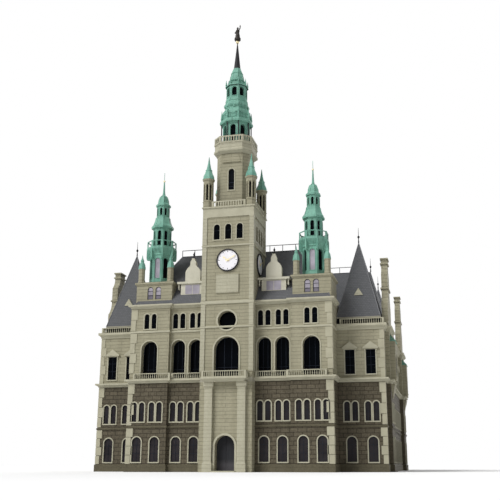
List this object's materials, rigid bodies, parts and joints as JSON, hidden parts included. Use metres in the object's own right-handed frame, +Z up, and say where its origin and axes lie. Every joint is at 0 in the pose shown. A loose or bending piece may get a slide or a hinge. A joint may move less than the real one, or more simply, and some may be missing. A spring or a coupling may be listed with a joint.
{
  "type": "town hall building, 1:2 scale model",
  "caption": "Hollow town hall with rusticated lower storeys, arched windows, slate roofs, a central clock tower with copper spire, lantern turrets and arched entrance doors that open.",
  "frame": {"origin": "on the ground under the middle of the building's bounding box", "axes": "+X to the right along the front, +Y from the street front to the rear, +Z up"},
  "size_m": [21.3, 24.4134, 32.5],
  "materials": {
    "brown_stone": "rusticated ashlar",
    "light_stone": "smooth ashlar",
    "trim_stone": "dressed stone",
    "floor_stone": "plain",
    "slate": "slate",
    "copper_patina": "weathered copper patina",
    "dark_iron": "painted iron",
    "dark_bronze": "dark bronze",
    "dark_glass": "dark glass",
    "clock_face": "enamel",
    "gilt": "gilt",
    "door_wood": "dark painted boards"
  },
  "bodies": {
    "building": {"attic_blocks": "light_stone", "balustrades": "trim_stone", "clock_dials": "clock_face", "copper_caps": "copper_patina", "door_hinges": "dark_iron", "dormers": "light_stone", "eaves_cornices": "trim_stone", "ground_floor": "floor_stone", "lantern_bases": "copper_patina", "lantern_tops": "copper_patina", "lower_back_wall": "brown_stone", "lower_front_walls": "brown_stone", "lower_side_walls": "brown_stone", "lower_string_course": "brown_stone", "lower_wing_walls": "brown_stone", "main_cornice": "trim_stone", "main_floor": "floor_stone", "main_roofs": "slate", "opening_surrounds": "trim_stone", "oriels": "light_stone", "pavilion_roofs": "slate", "plinth": "brown_stone", "portal_head": "light_stone", "portal_piers": "light_stone", "portal_pilasters": "trim_stone", "roof_decks": "floor_stone", "roof_ironwork": "dark_iron", "side_bays": "light_stone", "spire_ball": "gilt", "spire_bells": "copper_patina", "spire_gallery": "light_stone", "spire_lanterns": "copper_patina", "spire_spike": "dark_iron", "spire_statue": "dark_bronze", "storey_floors": "floor_stone", "tower_back_wall": "light_stone", "tower_balcony": "trim_stone", "tower_bands": "trim_stone", "tower_corner_strips": "trim_stone", "tower_floors": "floor_stone", "tower_front_wall": "light_stone", "tower_parapet": "trim_stone", "tower_side_walls": "light_stone", "tower_top": "trim_stone", "tower_turrets": "light_stone", "tower_upper_stage": "light_stone", "upper_back_wall": "light_stone", "upper_front_walls": "light_stone", "upper_side_walls": "light_stone", "upper_string_course": "trim_stone", "upper_wing_walls": "light_stone", "window_panes": "dark_glass"},
    "front_hour_hand": {"front_hour_hand": "gilt"},
    "front_minute_hand": {"front_minute_hand": "gilt"},
    "left_hour_hand": {"left_hour_hand": "gilt"},
    "left_minute_hand": {"left_minute_hand": "gilt"},
    "right_hour_hand": {"right_hour_hand": "gilt"},
    "right_minute_hand": {"right_minute_hand": "gilt"},
    "right_door_leaf": {"right_door_leaf": "door_wood"},
    "left_door_leaf": {"left_door_leaf": "door_wood"}
  },
  "joints": [
    {"name": "right_door_swing", "type": "hinge", "parent": "building", "child": "right_door_leaf", "pos_m": [0.725, -11.13175, 0.8], "axis": [0, 0, -1], "range_deg": [0, 90]},
    {"name": "left_door_swing", "type": "hinge", "parent": "building", "child": "left_door_leaf", "pos_m": [-0.725, -11.13175, 0.8], "axis": [0, 0, 1], "range_deg": [0, 90]},
    {"name": "front_minute_hand_turn", "type": "hinge", "parent": "building", "child": "front_minute_hand", "pos_m": [0, -11.55675, 13.73], "axis": [0, 1, 0], "continuous": true},
    {"name": "front_hour_hand_turn", "type": "hinge", "parent": "building", "child": "front_hour_hand", "pos_m": [0, -11.55675, 13.73], "axis": [0, 1, 0], "continuous": true},
    {"name": "right_minute_hand_turn", "type": "hinge", "parent": "building", "child": "right_minute_hand", "pos_m": [1.75, -9.80675, 13.73], "axis": [-1, 0, 0], "continuous": true},
    {"name": "right_hour_hand_turn", "type": "hinge", "parent": "building", "child": "right_hour_hand", "pos_m": [1.75, -9.80675, 13.73], "axis": [-1, 0, 0], "continuous": true},
    {"name": "left_minute_hand_turn", "type": "hinge", "parent": "building", "child": "left_minute_hand", "pos_m": [-1.75, -9.80675, 13.73], "axis": [1, 0, 0], "continuous": true},
    {"name": "left_hour_hand_turn", "type": "hinge", "parent": "building", "child": "left_hour_hand", "pos_m": [-1.75, -9.80675, 13.73], "axis": [1, 0, 0], "continuous": true}
  ],
  "couplings": [
    {"joint": "front_hour_hand_turn", "follows": "front_minute_hand_turn", "ratio": 0.083333},
    {"joint": "right_minute_hand_turn", "follows": "front_minute_hand_turn", "ratio": 1},
    {"joint": "right_hour_hand_turn", "follows": "front_minute_hand_turn", "ratio": 0.083333},
    {"joint": "left_minute_hand_turn", "follows": "front_minute_hand_turn", "ratio": 1},
    {"joint": "left_hour_hand_turn", "follows": "front_minute_hand_turn", "ratio": 0.083333}
  ]
}
